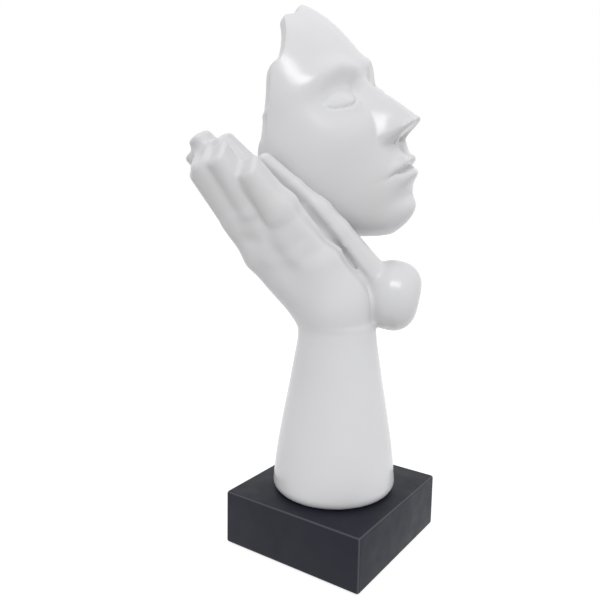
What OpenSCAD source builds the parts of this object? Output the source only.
// Face on hands statue: a thin mask leans its cheek on two hands laid palm to palm.
// The near hand grows from a round forearm that is bolted down on a square plinth.
// Millimetres, +Z up, origin at the middle of the face that rests on the table.
// The face looks toward +X, the near hand's back looks toward -Y.

/* [Plinth] */
// Side of the square plinth
plinth_side = 100; // [90:1:130]
// Height of the plinth block
plinth_height = 35; // [28:1:60]
// Width of the eased edges
plinth_edge = 1.8; // [0.5:0.1:4]

/* [Base sheet] */
// Thickness of the soft sheet under the plinth
sheet_thick = 1; // [0.5:0.5:3]
// How far the sheet stays back from the plinth's sides
sheet_inset = 2.5; // [2:0.5:8]

/* [Fixing] */
// Diameter of the threaded stud
stud_d = 8; // [5:1:10]
// Length of stud that is cast into the forearm
stud_grip = 42; // [20:1:60]
// Length of stud that shows below the nut
stud_tail = 3; // [1:0.5:4]
// Width across the nut's flats
nut_flats = 13; // [12:1:17]
// Height of the nut
nut_height = 6.5; // [4:0.5:7]
// Outer diameter of the washer
washer_d = 24; // [18:1:28]
// Thickness of the washer
washer_thick = 2; // [1:0.5:3]
// Diameter of the recess under the plinth
recess_d = 30; // [29:1:44]
// Depth of the recess under the plinth
recess_depth = 14; // [14:1:18]
// Play round the stud in the pieces it passes
stud_play = 0.2; // [0.1:0.1:0.5]

/* [Forearm] */
// Radius of the forearm's foot
foot_r = 40.3; // [34:0.1:44]
// Radius of the forearm at the wrist
wrist_r = 24.4; // [22:0.1:28]
// Height of the forearm above the plinth
forearm_height = 106; // [80:1:130]
// Swell of the forearm's side near its foot
forearm_swell = 1.3; // [0:0.1:4]
// Radius of the round at the foot's lower edge
foot_round = 4; // [1:0.5:8]
// Side of the square key on top of the forearm
key_side = 18; // [10:1:22]
// Height of that key
key_height = 8; // [4:1:10]
// Play round each key in its pocket
key_play = 0.2; // [0.1:0.1:0.4]

/* [Hands] */
// Length of a hand from wrist to middle fingertip
hand_length = 147; // [130:1:165]
// Width of a hand across the knuckles
hand_width = 64; // [56:1:70]
// Thickness of a hand at the palm
hand_thick = 22; // [19:0.5:26]
// Height of the hand's wrist above the forearm's top
wrist_rise = 4.5; // [2:0.5:8]
// Angle that stands the hands up and leans them toward the near hand's back
hand_stand = 119; // [112:1:124]
// Angle by which the fingertips tip away from the face
hand_tip = 27; // [22:1:32]
// Angle by which the hands are turned round the upright
hand_spin = 8; // [0:1:16]
// Distance between the middle planes of the two hands
hand_apart = 21.4; // [18:0.1:24]
// Angle at which the hands cross
hand_cross = 10; // [4:1:14]
// How far the far wrist stands out past the near one
far_side = 16; // [12:1:20]
// How far the far hand is slid toward the fingertips
far_along = 4; // [0:1:8]
// Side of the square key between the palms
palm_key_side = 14; // [8:1:18]
// Height of the key between the palms
palm_key_height = 5; // [3:0.5:6]

/* [Wrist stub] */
// Radius of the far hand's cut-off wrist
stub_r = 23; // [20:0.5:25]
// Distance from the far wrist to the stub's flat end
stub_reach = 39; // [34:1:46]
// Radius of the round at the stub's edge
stub_round = 15; // [8:1:18]
// Angle between the stub and the line of the far hand
stub_bend = 38; // [28:1:48]

/* [Mask] */
// Height of one third of the face: chin to nose, nose to brow, brow to hairline
face_third = 54; // [50:1:58]
// Half the width of the mask
face_half_width = 62; // [58:1:68]
// Depth of the mask from its open back to the cheeks
face_depth = 59; // [54:1:64]
// Wall thickness of the mask
mask_wall = 6; // [4:0.5:8]
// How far the nose stands out
nose_height = 19; // [14:1:24]
// Angle by which the face looks up
mask_tilt = 24; // [16:1:30]
// Angle by which the face leans toward the hands
mask_lean = 13; // [6:1:18]
// How far the face is slid along the hands, toward the fingertips
mask_along = 63; // [58:1:70]
// How far the face is slid past the hands' middle line
mask_side = 15; // [8:1:20]
// How deep the cheek is let into the back of the far hand
seat_depth = 3; // [2:0.5:4]

/* [Hidden] */
// Heights of the stack, from the table up
plinth_z = sheet_thick;
forearm_z = plinth_z + plinth_height;
joint_z = forearm_z + forearm_height;
wrist_z = joint_z + wrist_rise;
washer_z = plinth_z + recess_depth - washer_thick;
nut_z = washer_z - nut_height;
stud_z = nut_z - stud_tail;
stud_top = forearm_z + stud_grip;
// Extra length by which a cut passes through what it cuts
overrun = hand_length / 4;
round_steps = 96;
foot_steps = 6;
side_steps = 14;
ball_sides = 18;
lily = "white";
black = [0.13, 0.14, 0.16];
steel = [0.72, 0.73, 0.75];

// Hand: places across are shares of its width, along of its length, and up and round of its thickness.
// A finger is [knuckle across, knuckle along, tip across, tip along, knuckle, middle and tip radius].
far_finger_shares = [
    [-0.284, 0.428, -0.237, 0.868, 0.338, 0.303, 0.254],
    [-0.095, 0.447, -0.077, 0.921, 0.345, 0.310, 0.261],
    [0.095, 0.423, 0.083, 0.869, 0.331, 0.296, 0.247],
    [0.262, 0.379, 0.231, 0.747, 0.290, 0.261, 0.218],
];
near_finger_shares = [
    [-0.284, 0.428, -0.215, 0.870, 0.338, 0.305, 0.260],
    [-0.095, 0.435, 0.000, 0.850, 0.345, 0.315, 0.270],
    [0.095, 0.415, 0.145, 0.770, 0.331, 0.300, 0.255],
    [0.262, 0.379, 0.225, 0.735, 0.290, 0.261, 0.230],
];
// The four hand bones start at the wrist here and end at the knuckles
bone_shares = [-0.177, -0.059, 0.059, 0.166];
bone_root_share = 0.04;
bone_radius_shares = [0.528, 0.385];
knuckle_rise_share = 0.036;
finger_bend_share = 0.45;
bend_rise_share = 0.018;
tip_drop_share = 0.02;
// The fingers are as deep as this past their middle, so that they lie on the other hand's
finger_sweep_share = 0.36;
// Pads and thumb are chains of balls: [across, along, up, radius]
little_pad_shares = [[0.20, 0.06, -0.08, 0.56], [0.30, 0.30, -0.10, 0.36]];
thumb_pad_shares = [[-0.19, 0.10, -0.12, 0.42], [-0.30, 0.29, -0.16, 0.31]];
thumb_shares = [[-0.24, 0.12, -0.16, 0.40], [-0.37, 0.31, -0.21, 0.30], [-0.36, 0.47, -0.18, 0.23]];
// The wrist leans over from the joint into the hand and thins down to the palm
wrist_lean_shares = [0.03, 0.08, 0.86];
wrist_thin_shares = [[-0.14, 0.28, 0, 0.44], [0.17, 0.26, 0, 0.44]];
palm_key_shares = [0.03, 0.28];

// Mask: every place and rise below is a share of face_third, measured from the nose's base.
// A bump is [across, up, reach across, reach up, rise], and one off the middle is mirrored.
bump_shares = [
    [0.20, 0.97, 0.17, 0.13, 0.035],
    [0.46, 1.04, 0.24, 0.12, 0.060],
    [0.74, 0.96, 0.18, 0.14, 0.045],
    [0.50, 0.70, 0.32, 0.20, -0.170],
    [0.20, 0.74, 0.12, 0.17, -0.060],
    [0.52, 0.66, 0.23, 0.14, 0.150],
    [0.21, 0.08, 0.09, 0.10, 0.100],
    [0.70, 0.24, 0.34, 0.30, 0.060],
    [0.00, -0.34, 0.44, 0.32, 0.085],
    [0.13, -0.265, 0.14, 0.06, 0.065],
    [0.29, -0.31, 0.11, 0.06, 0.035],
    [0.00, -0.45, 0.26, 0.085, 0.090],
    [0.00, -0.35, 0.36, 0.035, -0.045],
    [0.00, -0.13, 0.06, 0.10, -0.020],
    [0.00, -0.63, 0.36, 0.11, -0.055],
    [0.00, -0.86, 0.34, 0.20, 0.110],
];
// Nose: heights of its root, tip and base, its half width at root and base, its ridge at root and tip
nose_shares = [0.86, 0.13, -0.02, 0.15, 0.27, 0.06, 0.12];
// The face is an egg: its middle above the nose's base, its height above and below that
egg_shares = [0.45, 1.80, 1.47];
jaw_narrow_share = 0.24;
jaw_climb_share = 0.24;
chin_turn_share = -0.91;
cheek_reach_share = 0.85;
inner_relief_share = 0.6;
// The broken edge is bevelled outward: the inner sheet goes on a little past the outer one
rim_bevel_share = 0.07;
// Broken rim as shares of a right angle: along the top from near to far side, then up each side
top_rim_shares = [[0, 0.15], [0.05, 0.24], [0.09, 0.33], [0.155, 0.35], [0.19, 0.39], [0.25, 0.49],
    [0.285, 0.575], [0.35, 0.56], [0.41, 0.58], [0.48, 0.64], [0.57, 0.67], [0.66, 0.58], [0.71, 0.49],
    [0.76, 0.41], [0.82, 0.33], [0.9, 0.29], [1, 0.28]];
near_rim_shares = [[0, 1.04], [0.2, 1.12], [0.4, 1.16], [0.6, 1.12], [0.74, 1.06], [0.87, 0.98],
    [0.93, 0.925], [1, 0.865]];
far_rim_shares = [[0, 0.93], [0.2, 1.02], [0.4, 1.06], [0.5, 1.05], [0.62, 1.02], [0.75, 1.00],
    [0.88, 0.94], [1, 0.90]];
// Steps of the mask's inner sheet; the outer one has twice as many
mask_columns = 30;
mask_rows = 30;

// Soft step from 0 to 1 while x goes from low to high
function soft_step(low, high, x) =
    let (t = min(max((x - low) / (high - low), 0), 1)) t * t * (3 - 2 * t);

// Height of one soft bump at y across and z up, both in thirds of the face
function bump_at(y, z, b) = b[4] * (exp(-((y - b[0]) / b[2]) ^ 2 - ((z - b[1]) / b[3]) ^ 2)
    + (b[0] > 0 ? exp(-((y + b[0]) / b[2]) ^ 2 - ((z - b[1]) / b[3]) ^ 2) : 0));

function sum_bumps(y, z, i = 0) =
    i == len(bump_shares) ? 0 : bump_at(y, z, bump_shares[i]) + sum_bumps(y, z, i + 1);

// Nose as a wedge with flat sides and a rounded ridge, 0 to 1
function nose_at(y, z) =
    let (
        run = min(max((nose_shares[0] - z) / (nose_shares[0] - nose_shares[1]), 0), 1),
        half = nose_shares[3] + (nose_shares[4] - nose_shares[3]) * run,
        ridge = nose_shares[5] + (nose_shares[6] - nose_shares[5]) * run ^ 3,
        fall = 1.1 - (sqrt(y * y + ridge * ridge) - ridge) / half,
        side = min(max(fall, 0), 1),
        under = z < nose_shares[1] ? soft_step(nose_shares[2], nose_shares[1], z) : 1
    ) run ^ 1.1 * side * under;

// Point of the egg under the face: turn goes round the upright, climb goes from chin to hairline
function egg_point(turn, climb, inset) =
    let (
        up = sin(climb) > 0,
        lean = max(cos(climb), 0),
        jaw = up ? 0 : -sin(climb),
        tall = (up ? egg_shares[1] : egg_shares[2]) * face_third - inset,
        deep = (face_depth - inset) * lean ^ (up ? 0.70 : 0.42),
        wide = (face_half_width - inset) * lean ^ (up ? 0.62 : 0.48) * (1 - jaw_narrow_share * jaw ^ 1.6),
        rise = jaw_climb_share * face_third * (1 - cos(turn)) * jaw ^ 1.3
    ) [
        deep * sign(cos(turn)) * abs(cos(turn)) ^ 0.80,
        wide * sin(turn),
        egg_shares[0] * face_third + tall * sin(climb) + rise
    ];

// Point of the mask: across and up go from 0 to 1, inset is 0 outside and the wall inside
function mask_point(across, up, inset) =
    let (
        right_angle = 90 * (inset > 0 ? 1 + rim_bevel_share : 1),
        near = -right_angle * lookup(up, near_rim_shares),
        far = right_angle * lookup(up, far_rim_shares),
        low = 90 * chin_turn_share,
        high = right_angle * lookup(across, top_rim_shares),
        turn = near + (far - near) * across,
        climb = low + (high - low) * up,
        outer = egg_point(turn, climb, 0),
        place = egg_point(turn, climb, inset),
        y = outer[1] / face_third,
        z = outer[2] / face_third,
        relief = face_third * sum_bumps(y, z) + nose_height * nose_at(y, z),
        share = inset > 0 ? inner_relief_share : 1
    ) place + [relief * share * sqrt(max(cos(turn), 0)), 0, 0];

// Closed shell: a fine outer sheet, an inner one with half as many steps, and the rim that joins them
module mask_shell() {
    cols = mask_columns;
    rows = mask_rows;
    first_inner = (2 * cols + 1) * (2 * rows + 1);
    points = concat(
        [for (i = [0:2 * cols], j = [0:2 * rows]) mask_point(i / cols / 2, j / rows / 2, 0)],
        [for (i = [0:cols], j = [0:rows]) mask_point(i / cols, j / rows, mask_wall)]
    );
    function outer_id(i, j) = i * (2 * rows + 1) + j;
    function inner_id(i, j) = first_inner + i * (rows + 1) + j;
    outer = [for (i = [0:2 * cols - 1], j = [0:2 * rows - 1])
        each [[outer_id(i, j), outer_id(i, j + 1), outer_id(i + 1, j + 1)],
            [outer_id(i, j), outer_id(i + 1, j + 1), outer_id(i + 1, j)]]];
    inner = [for (i = [0:cols - 1], j = [0:rows - 1])
        each [[inner_id(i, j), inner_id(i + 1, j + 1), inner_id(i, j + 1)],
            [inner_id(i, j), inner_id(i + 1, j), inner_id(i + 1, j + 1)]]];
    ring = concat(
        [for (i = [0:cols - 1]) [i, 0]],
        [for (j = [0:rows - 1]) [cols, j]],
        [for (i = [cols:-1:1]) [i, rows]],
        [for (j = [rows:-1:1]) [0, j]]
    );
    rim = [for (k = [0:len(ring) - 1])
        let (
            a = ring[k],
            b = ring[(k + 1) % len(ring)],
            start = outer_id(2 * a[0], 2 * a[1]),
            middle = outer_id(a[0] + b[0], a[1] + b[1]),
            end = outer_id(2 * b[0], 2 * b[1])
        )
        each [[start, middle, inner_id(a[0], a[1])], [middle, end, inner_id(b[0], b[1])],
            [middle, inner_id(b[0], b[1]), inner_id(a[0], a[1])]]];
    polyhedron(points = points, faces = concat(outer, inner, rim), convexity = 10);
}

// Square with cut corners, centred
module eased_square(side, edge) {
    half = side / 2;
    polygon([[half, edge - half], [half, half - edge], [half - edge, half], [edge - half, half],
        [-half, half - edge], [-half, edge - half], [edge - half, -half], [half - edge, -half]]);
}

// Rectangle of the plinth's width and height with cut corners, standing on zero
module eased_upright(side, height, edge) {
    half = side / 2;
    polygon([[half, edge], [half, height - edge], [half - edge, height], [edge - half, height],
        [-half, height - edge], [-half, edge], [edge - half, 0], [half - edge, 0]]);
}

module base_sheet() {
    color(black) linear_extrude(sheet_thick)
        eased_square(plinth_side - 2 * sheet_inset, plinth_edge);
}

module plinth_block() {
    intersection() {
        linear_extrude(plinth_height) eased_square(plinth_side, plinth_edge);
        for (turn = [0, 90])
            rotate([90, 0, turn])
                translate([0, 0, -plinth_side / 2])
                    linear_extrude(plinth_side)
                        eased_upright(plinth_side, plinth_height, plinth_edge);
    }
}

module plinth() {
    color(black) translate([0, 0, plinth_z]) difference() {
        plinth_block();
        translate([0, 0, -overrun]) cylinder(d = recess_d, h = recess_depth + overrun, $fn = round_steps);
        cylinder(d = stud_d + 2 * stud_play, h = plinth_height + overrun, $fn = round_steps);
    }
}

module stud() {
    color(steel) translate([0, 0, stud_z])
        cylinder(d = stud_d, h = stud_top - stud_z, $fn = round_steps);
}

module washer() {
    color(steel) translate([0, 0, washer_z]) difference() {
        cylinder(d = washer_d, h = washer_thick, $fn = round_steps);
        translate([0, 0, -overrun])
            cylinder(d = stud_d + 2 * stud_play, h = washer_thick + 2 * overrun, $fn = round_steps);
    }
}

module nut() {
    color(steel) translate([0, 0, nut_z]) difference() {
        cylinder(d = nut_flats / cos(30), h = nut_height, $fn = 6);
        translate([0, 0, -overrun])
            cylinder(d = stud_d + stud_play, h = nut_height + 2 * overrun, $fn = round_steps);
    }
}

// Side of the forearm at t, 0 at the wrist and 1 at the foot
function forearm_r(t) = wrist_r + (foot_r - wrist_r) * t + forearm_swell * sin(180 * t * t);

module forearm_body() {
    top_t = 1 - foot_round / forearm_height;
    rim_r = forearm_r(top_t);
    foot = [for (k = [0:foot_steps - 1])
        let (a = 90 * k / foot_steps)
        [rim_r - foot_round + foot_round * sin(a), foot_round - foot_round * cos(a)]];
    side = [for (k = [side_steps:-1:0])
        let (t = top_t * k / side_steps) [forearm_r(t), forearm_height * (1 - t)]];
    rotate_extrude($fn = round_steps) polygon(concat([[0, 0]], foot, side, [[0, forearm_height]]));
}

// Square key on the joint, rooted in the forearm as deep as it stands out
module forearm_key(play) {
    side = key_side + 2 * play;
    translate([-side / 2, -side / 2, -key_height]) cube([side, side, 2 * key_height + play]);
}

module forearm() {
    color(lily) difference() {
        union() {
            translate([0, 0, forearm_z]) forearm_body();
            translate([0, 0, joint_z]) forearm_key(0);
        }
        translate([0, 0, forearm_z - overrun])
            cylinder(d = stud_d + stud_play, h = stud_grip + overrun, $fn = round_steps);
    }
}

// Frame of the near hand: x to the little finger, y to the fingertips, z out of its back
module at_hands() {
    translate([0, 0, wrist_z]) rotate([hand_stand, -hand_tip, hand_spin]) children();
}

// Frame of the far hand, which is the near one's mirror image across the palms
module at_far_hand() {
    translate([far_side, far_along, -hand_apart]) rotate([0, 0, hand_cross]) mirror([0, 0, 1]) children();
}

module ball(place, r) {
    translate(place) sphere(r = r, $fn = ball_sides);
}

function hand_place(across, along, up) = [across * hand_width, along * hand_length, up * hand_thick];

module balls(shares) {
    for (b = shares) ball(hand_place(b[0], b[1], b[2]), b[3] * hand_thick);
}

// Links of a chain; each is drawn out toward the palm by sweep, so that its sides run straight down
module chain(shares, sweep = 0) {
    for (k = [0:len(shares) - 2])
        hull() for (down = sweep > 0 ? [0, sweep] : [0])
            translate([0, 0, -down]) balls([shares[k], shares[k + 1]]);
}

module bone(k) {
    finger = far_finger_shares[k];
    ball(hand_place(bone_shares[k], bone_root_share, 0), bone_radius_shares[0] * hand_thick);
    ball(hand_place(finger[0], finger[1], knuckle_rise_share), bone_radius_shares[1] * hand_thick);
}

module finger(f) {
    across = f[0] + (f[2] - f[0]) * finger_bend_share;
    along = f[1] + (f[3] - f[1]) * finger_bend_share;
    chain([[f[0], f[1], knuckle_rise_share, f[4]], [across, along, bend_rise_share, f[5]],
        [f[2], f[3], -tip_drop_share, f[6]]], finger_sweep_share * hand_thick);
}

// A whole hand in its own frame, before the palm is cut flat
module hand_form(fingers) {
    for (k = [0:2]) hull() {
        bone(k);
        bone(k + 1);
    }
    hull() {
        bone(0);
        balls(thumb_pad_shares);
    }
    hull() {
        bone(3);
        balls(little_pad_shares);
    }
    for (f = fingers) finger(f);
    chain(thumb_shares);
}

// Half space past the plane where the palms meet; side 1 is the near hand's, -1 the far hand's
module palm_side(side) {
    size = hand_length + hand_width + 2 * overrun;
    translate([-size / 2, -size / 2, side > 0 ? -hand_apart / 2 : -hand_apart / 2 - size]) cube(size);
}

// Square key between the palms, rooted in the far hand as deep as it stands out
module palm_key(play) {
    side = palm_key_side + 2 * play;
    place = hand_place(palm_key_shares[0], palm_key_shares[1], 0);
    translate([place[0] - side / 2, place[1] - side / 2, -hand_apart / 2 - palm_key_height])
        cube([side, side, 2 * palm_key_height + play]);
}

module wrist_ball() {
    ball(hand_place(wrist_lean_shares[0], wrist_lean_shares[1], 0), wrist_lean_shares[2] * wrist_r);
}

// The near wrist goes over from the forearm's round top into the hand
module wrist_form() {
    hull() {
        translate([0, 0, joint_z]) cylinder(r = wrist_r, h = wrist_rise, $fn = 3 * ball_sides);
        at_hands() wrist_ball();
    }
    at_hands() hull() {
        wrist_ball();
        balls(wrist_thin_shares);
    }
}

module near_hand_form() {
    at_hands() intersection() {
        hand_form(near_finger_shares);
        palm_side(1);
    }
    wrist_form();
}

module below_joint() {
    size = 4 * wrist_r;
    translate([-size / 2, -size / 2, joint_z - size]) cube(size);
}

module near_hand() {
    color(lily) difference() {
        near_hand_form();
        below_joint();
        translate([0, 0, joint_z]) forearm_key(key_play);
        at_hands() palm_key(key_play);
    }
}

// Cut-off wrist of the far hand: a short cylinder with a well rounded edge
module stub_form() {
    at_far_hand() rotate([90, 0, stub_bend]) {
        hull() {
            for (k = [0:foot_steps])
                let (a = 90 * k / foot_steps)
                translate([0, 0, stub_reach - stub_round + stub_round * sin(a) - overrun])
                    cylinder(r = stub_r - stub_round + stub_round * cos(a), h = overrun, $fn = 2 * ball_sides);
            translate([0, 0, stub_reach - stub_r]) sphere(r = stub_r, $fn = 2 * ball_sides);
        }
    }
}

// The far hand's own side of the palms
module far_palm_form() {
    at_hands() intersection() {
        at_far_hand() hand_form(far_finger_shares);
        palm_side(-1);
    }
}

module far_hand_form() {
    far_palm_form();
    at_hands() stub_form();
}

module far_hand() {
    color(lily) {
        difference() {
            far_palm_form();
            wrist_form();
        }
        difference() {
            at_hands() stub_form();
            near_hand_form();
        }
        at_hands() palm_key(0);
    }
}

// Frame of the face: x out of the face, z up it, origin at the nose's base
module at_face() {
    away = hand_apart + hand_thick / 2 + cheek_reach_share * face_half_width - seat_depth;
    at_hands() translate([mask_side, mask_along, -away])
        rotate([-hand_stand, 0, 0]) rotate([0, hand_tip, 0]) rotate([0, 0, -hand_spin])
            rotate([mask_lean, -mask_tilt, 0]) children();
}

module face_mask() {
    color(lily) difference() {
        at_face() mask_shell();
        far_hand_form();
    }
}

base_sheet();
plinth();
stud();
washer();
nut();
forearm();
near_hand();
far_hand();
face_mask();
